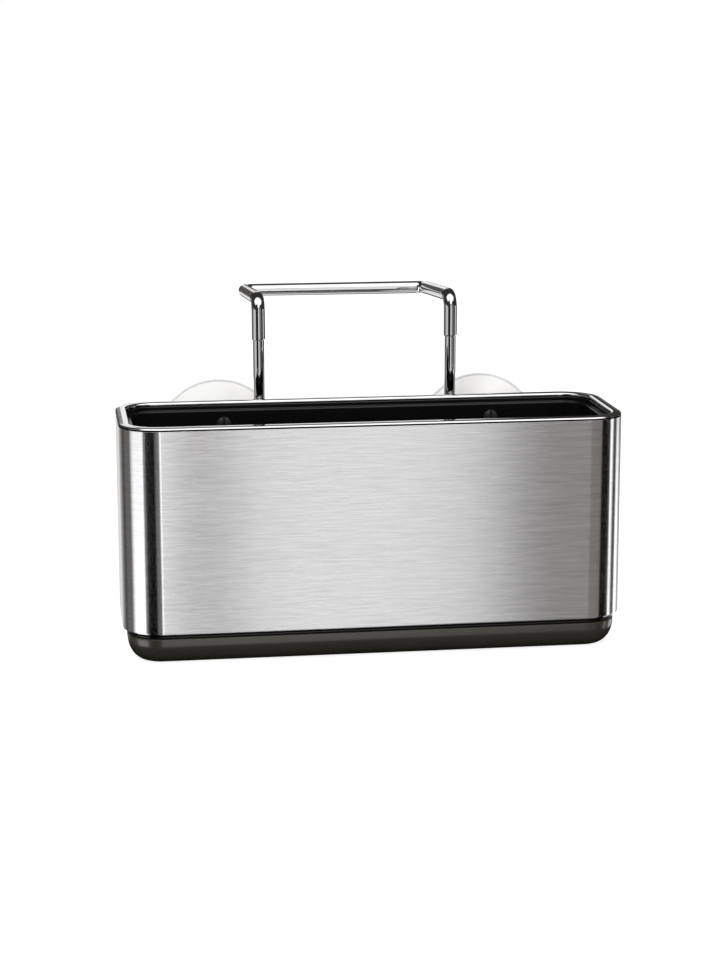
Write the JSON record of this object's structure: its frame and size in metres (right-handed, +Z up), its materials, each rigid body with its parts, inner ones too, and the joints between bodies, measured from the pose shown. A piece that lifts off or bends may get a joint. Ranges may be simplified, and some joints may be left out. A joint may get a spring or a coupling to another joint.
{
  "type": "sink organizer",
  "caption": "Narrow steel-wrapped sink caddy on a drip tray, with suction cups and a wire hanger loop that slides up and down behind it.",
  "frame": {"origin": "centre of the drip tray's flat underside, on the surface it stands on", "axes": "+X to the right as seen from the front, +Y to the back where the suction cups and hanger are, +Z up"},
  "size_m": [0.245, 0.1644, 0.1688],
  "materials": {
    "brushed_steel": "fine horizontal brush, polished rim",
    "chrome": "polished",
    "hardware_steel": "plain",
    "black_plastic": "satin",
    "liner_plastic": "smooth moulded",
    "seal_rubber": "matt",
    "grey_nylon": "matt",
    "pale_vinyl": "smooth translucent vinyl"
  },
  "bodies": {
    "tray": {"drip_tray": "black_plastic"},
    "caddy": {"steel_sleeve": "brushed_steel", "inner_liner": "liner_plastic", "tray_seal": "seal_rubber", "rear_bracket": "black_plastic", "friction_pad_left": "grey_nylon", "friction_pad_right": "grey_nylon", "bracket_screw_left": "liner_plastic", "bracket_screw_right": "liner_plastic", "suction_cup_left": "pale_vinyl", "suction_cup_right": "pale_vinyl", "cup_stud_left": "hardware_steel", "cup_stud_right": "hardware_steel", "cup_nut_left": "hardware_steel", "cup_nut_right": "hardware_steel"},
    "wire_frame": {"hanger_loop": "chrome", "rod_left": "chrome", "rod_right": "chrome", "rod_end_cap_left": "black_plastic", "rod_end_cap_right": "black_plastic"}
  },
  "joints": [
    {"name": "caddy_lift", "type": "slide", "parent": "tray", "child": "caddy", "axis": [0, 0, 1], "range_m": [0, 0.03]},
    {"name": "frame_height", "type": "slide", "parent": "caddy", "child": "wire_frame", "axis": [0, 0, 1], "range_m": [-0.03, 0.03]}
  ]
}
